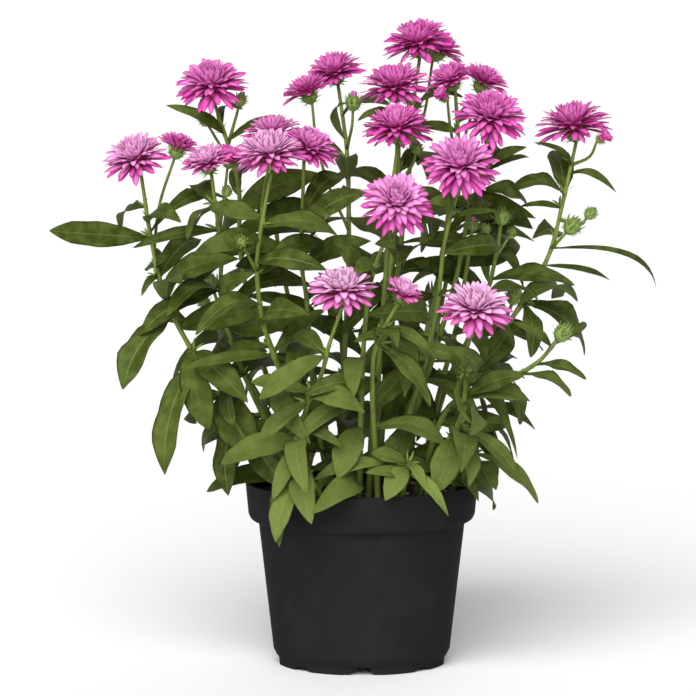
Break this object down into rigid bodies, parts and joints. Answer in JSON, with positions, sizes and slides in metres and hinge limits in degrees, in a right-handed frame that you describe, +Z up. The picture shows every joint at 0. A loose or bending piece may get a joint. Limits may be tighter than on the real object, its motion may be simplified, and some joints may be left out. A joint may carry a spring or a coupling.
{
  "type": "potted new york aster",
  "caption": "Bushy perennial with double pink flower heads on leafy stems, growing in a black plastic nursery pot that stands on its foot ring.",
  "frame": {"origin": "on the surface the pot stands on, under the middle of the pot", "axes": "+Z up along the pot's axis; the front of the plant faces -Y and +X is to its right seen from the front"},
  "size_m": [0.365, 0.238, 0.3851],
  "materials": {
    "pot": "satin black moulded plastic",
    "soil": "rough moist peat",
    "leaf": "satin leaf, dark above and pale below",
    "young_leaf": "satin young leaf",
    "petal": "soft petal, paler towards the heart"
  },
  "bodies": {
    "root": {"pot": "pot", "soil": "soil", "stem_a": "leaf", "stem_b": "leaf", "stem_c": "leaf", "stem_d": "leaf", "stem_e": "leaf", "stem_f": "leaf", "stem_g": "leaf", "stem_h": "leaf", "stem_i": "leaf", "stem_j": "leaf", "stem_k": "leaf", "stem_l": "leaf", "stem_m": "leaf", "stem_n": "leaf", "stem_o": "leaf", "stem_p": "leaf", "stem_q": "leaf", "stem_r": "leaf", "stem_s": "leaf", "stem_t": "leaf", "stem_u": "leaf", "stem_v": "leaf", "stem_w": "leaf", "stem_x": "leaf", "stem_y": "leaf", "stem_z": "leaf", "shoot_front": "young_leaf", "shoot_rim": "young_leaf", "shoot_right": "young_leaf", "bloom_a": "petal", "bloom_a2": "petal", "bloom_b": "petal", "bloom_b2": "petal", "bloom_c": "petal", "bloom_d": "petal", "bloom_d2": "petal", "bloom_e": "petal", "bloom_f": "petal", "bloom_f2": "petal", "bloom_g": "petal", "bloom_g2": "petal", "bloom_h": "petal", "bloom_i": "petal", "bloom_i2": "petal", "bloom_i3": "petal", "bloom_j": "petal", "bloom_k": "petal", "bloom_l": "petal", "bloom_m": "petal", "bloom_n": "petal", "bloom_n2": "petal", "bloom_p": "petal", "bloom_q": "petal", "bloom_r": "petal", "bloom_u": "petal", "bloom_v": "petal", "bloom_w": "petal", "bloom_x": "petal"}
  },
  "joints": []
}
